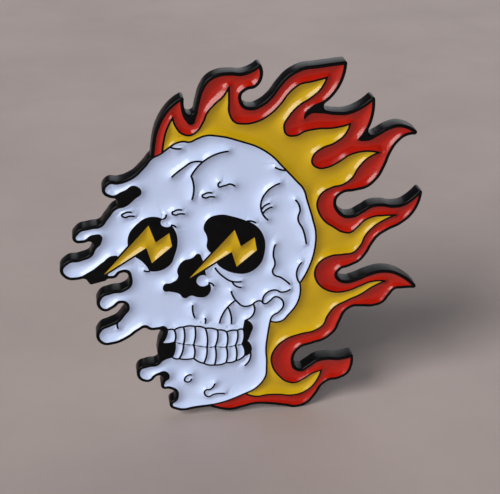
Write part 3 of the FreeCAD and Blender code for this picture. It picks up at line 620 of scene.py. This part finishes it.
def make_cap(side, material):
    """The cap: a disc with a raised hub and a slot for each wing."""
    node = f"{side}_clutch_cap"
    low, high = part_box(node)
    centre = centre_of(node)
    outside = (high.x - low.x) / 2
    top = high.y - SHEET
    edge = 0.09 * MM
    hub = 1.5 * MM
    hub_foot = hub + 0.1 * MM
    hub_top = hub - 0.3 * MM
    hub_segments = 64
    rim_segments = 128
    slot_near = 2.33 * MM
    slot_far = 3.47 * MM
    slot_half = 2.67 * MM
    slot_corner = 0.2 * MM
    slots = []
    for way in (-1, 1):
        near, far = way * slot_near, way * slot_far
        corners = [(near, -slot_half), (far, -slot_half), (far, slot_half), (near, slot_half)][::way]
        outline = np.array(rounded(corners, [slot_corner] * 4)) + np.array(centre)
        slots.append(outline[::-1])
    rim = circle(*centre, outside, rim_segments)
    hub_hole = circle(*centre, hub_foot, hub_segments)[::-1]
    bore = circle(*centre, BORE, hub_segments)[::-1]
    build = Builder()
    for outline in [rim] + slots:
        build.wall(outline, [(0, low.y)] + rounding(edge, top, way=-1))
    build.sheet([inset(rim, edge), hub_hole] + [inset(slot, edge) for slot in slots], top, 1)
    build.sheet([rim, bore] + slots, low.y, -1)
    hub_profile = profile_of([
        (hub_foot, top, 0),
        (hub, top, 0.08),
        (hub_top, high.y, 0.14),
        (BORE, high.y, 0.08),
        (BORE, low.y, 0),
    ], closed=False)
    rings = [build.add_ring(circle(*centre, radius, hub_segments), y) for radius, y in hub_profile]
    for here, above in zip(rings, rings[1:]):
        build.faces += band(here, above, hub_segments)
    piece = mesh_piece(node + "_pressed", build.vertices, build.faces, material)
    hand_over(joined(piece, turn_outward=True), node, f"{side}_clutch")


def make_wing(side, name, way, material):
    """A strip that grips the post, bent up through its slot into a wing with round corners."""
    node = f"{side}_clutch_{name}_wing"
    low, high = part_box(node)
    centre = centre_of(f"{side}_clutch_cup")
    cap_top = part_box(f"{side}_clutch_cap")[1].y
    strip = low.y + SHEET / 2
    strip_end = 1.6 * MM
    hole_from = -BORE
    hole_to = 1.375 * MM
    upright = 3.1 * MM + SHEET / 2
    lean = 0.5 * MM
    tip = (high.x - low.x) - strip_end - SHEET / 2
    tip_room = 0.04 * MM
    edge_softness = 0.07 * MM
    line = profile_of([
        (-strip_end, strip, 0),
        (hole_from, strip, 0),
        (hole_to, strip, 0),
        (upright, strip, 0.3),
        (upright, cap_top, 1.5),
        (upright + lean, (cap_top + high.y) / 2, 4.0),
        (tip, high.y - tip_room, 0),
    ], closed=False)
    stretches = [(Vector(b) - Vector(a)).length for a, b in zip(line, line[1:])]
    lengths = np.concatenate([[0], np.cumsum(stretches)])
    # rows of vertices along the strip, closer together where the wing's end is round
    half = (high.z - low.z) / 2
    round_end = 1.3 * MM
    steps = np.concatenate([np.arange(0, 1, 0.12), [1]]) * round_end
    left = np.unique(np.concatenate([lengths[-1] - lengths, steps]))[::-1]
    width = half - round_end + np.sqrt(round_end**2 - np.clip(round_end - left, 0, None) ** 2)
    u = np.interp(lengths[-1] - left, lengths, [p[0] for p in line])
    y = np.interp(lengths[-1] - left, lengths, [p[1] for p in line])
    hole = BORE / half
    across = [-1, -0.66, -hole, 0, hole, 0.66, 1]
    hole_columns = (2, 3)
    columns = len(across)
    vertices = []
    for row in range(len(left)):
        vertices += [(centre[0] + way * u[row], y[row], centre[1] + t * width[row]) for t in across]
    faces = []
    for row in range(len(left) - 1):
        in_strip = abs(y[row] - strip) < SAME_LEVEL
        in_hole = in_strip and hole_from - SAME_LEVEL < u[row] < hole_to - SAME_LEVEL
        for k in range(columns - 1):
            if not (in_hole and k in hole_columns):
                a = row * columns + k
                faces.append((a, a + 1, a + 1 + columns, a + columns))
    piece = mesh_piece(node + "_bent", vertices, faces, material)
    solid = piece.modifiers.new("sheet", "SOLIDIFY")
    solid.thickness = SHEET
    solid.offset = 0
    soft = piece.modifiers.new("soft_edges", "BEVEL")
    soft.width = edge_softness
    soft.segments = 2
    soft.angle_limit = radians(50)
    hand_over(piece, node, f"{side}_{name}_wing")


def dress_spring(side, material):
    """The wire ring in the cup keeps its CAD shape."""
    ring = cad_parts[f"{side}_clutch_spring"]
    ring.data.materials.clear()
    ring.data.materials.append(material)


# ---------------------------------------------------------------- stage

def make_floor():
    """A plain pale floor just under the pin."""
    half = 3.0
    level = CAD_BOX[0].z
    material, nodes, links, shader = new_material("floor")
    tone = colour_ramp(nodes, [(0.3, (0.37, 0.308, 0.294)), (0.7, (0.425, 0.355, 0.34))])
    links.new(noise(nodes, links, scale=35, detail=6, roughness=0.6), tone.inputs["Fac"])
    links.new(tone.outputs["Color"], shader.inputs["Base Color"])
    shader.inputs["Roughness"].default_value = 0.75
    corners = [(-half, -half, level), (half, -half, level), (half, half, level), (-half, half, level)]
    floor = mesh_piece("floor", corners, [(0, 1, 2, 3)], material, smooth=False)


def add_sun(name, from_direction, strength, spread, colour):
    """A soft distant light. spread is its width in degrees."""
    data = bpy.data.lights.new(name, "SUN")
    data.energy = strength
    data.angle = radians(spread)
    data.color = colour
    sun = bpy.data.objects.new(name, data)
    bpy.context.scene.collection.objects.link(sun)
    sun.rotation_mode = "QUATERNION"
    sun.rotation_quaternion = (-Vector(from_direction)).to_track_quat("-Z", "Y")


def make_lights():
    """A soft light from the upper left, a window near the camera, a weak light behind, a plain surround."""
    add_sun("key", (-0.62, -0.48, 0.62), strength=2.8, spread=30, colour=(1.0, 0.98, 0.95))
    add_sun("window", (-0.44, -0.86, 0.25), strength=1.0, spread=26, colour=(1.0, 0.99, 0.97))
    add_sun("back", (0.35, 0.80, 0.50), strength=0.9, spread=60, colour=(0.95, 0.97, 1.0))
    world = bpy.data.worlds.new("studio")
    bpy.context.scene.world = world
    world.use_nodes = True
    nodes, links = world.node_tree.nodes, world.node_tree.links
    fill = nodes["Background"]
    fill.inputs["Color"].default_value = (0.74, 0.85, 1.0, 1.0)
    fill.inputs["Strength"].default_value = 0.065
    # the camera sees a paler surround than the one that lights the pin
    backdrop = add_node(nodes, "ShaderNodeBackground", Color=(0.95, 0.93, 0.92, 1.0), Strength=0.42)
    ray = add_node(nodes, "ShaderNodeLightPath")
    choice = add_node(nodes, "ShaderNodeMixShader")
    links.new(ray.outputs["Is Camera Ray"], choice.inputs[0])
    links.new(fill.outputs["Background"], choice.inputs[1])
    links.new(backdrop.outputs["Background"], choice.inputs[2])
    links.new(choice.outputs["Shader"], nodes["World Output"].inputs["Surface"])


def make_camera():
    """The view from the left of the face and above it."""
    data = bpy.data.cameras.new("camera")
    camera = bpy.data.objects.new("camera", data)
    bpy.context.scene.collection.objects.link(camera)
    place = Vector((-0.0165, -0.1118, 0.056))
    target = Vector((0, FRONT, 0))
    camera.location = place
    camera.rotation_mode = "QUATERNION"
    camera.rotation_quaternion = (target - place).to_track_quat("-Z", "Y")
    data.sensor_width = 36
    data.lens = 81.6
    data.shift_x = 0.018
    data.shift_y = -0.022
    data.clip_start = 0.001
    data.clip_end = 20
    bpy.context.scene.camera = camera


def main():
    make_camera()
    make_lights()
    make_floor()
    white = enamel_material("white_enamel", (0.52, 0.62, 0.88), (0.55, 0.65, 0.90))
    yellow = enamel_material("yellow_enamel", (0.49, 0.305, 0.003), (0.55, 0.35, 0.005))
    red = enamel_material("red_enamel", (0.35, 0.0055, 0.001), (0.41, 0.010, 0.0015))
    black = plating_material("black_plating", grain=0.10)
    black_back = plating_material("black_plating_back", grain=0.5)
    cells = cell_outlines()
    make_plate(cells, black, black_back)
    for node, outlines in cells.items():
        if "red" in node:
            make_enamel(node, outlines, red)
        elif "yellow" in node or "bolt" in node:
            make_enamel(node, outlines, yellow)
        else:
            make_enamel(node, outlines, white)
    # dark and light colour, roughness, scratches per metre
    steel = metal_material("post_steel", (0.40, 0.39, 0.37), (0.56, 0.55, 0.53), 0.22, 4000)
    brass = metal_material("clutch_brass", (0.62, 0.43, 0.17), (0.80, 0.60, 0.30), 0.20, 3000)
    wire = metal_material("spring_steel", (0.45, 0.45, 0.45), (0.6, 0.6, 0.6), 0.25, 5000)
    for side, outward in (("left", -1), ("right", 1)):
        make_post(side, steel)
        make_cup(side, brass)
        make_cap(side, brass)
        dress_spring(side, wire)
        make_wing(side, "inner", -outward, brass)
        make_wing(side, "outer", outward, brass)


bpy.context.scene.view_settings.view_transform = "Standard"
main()
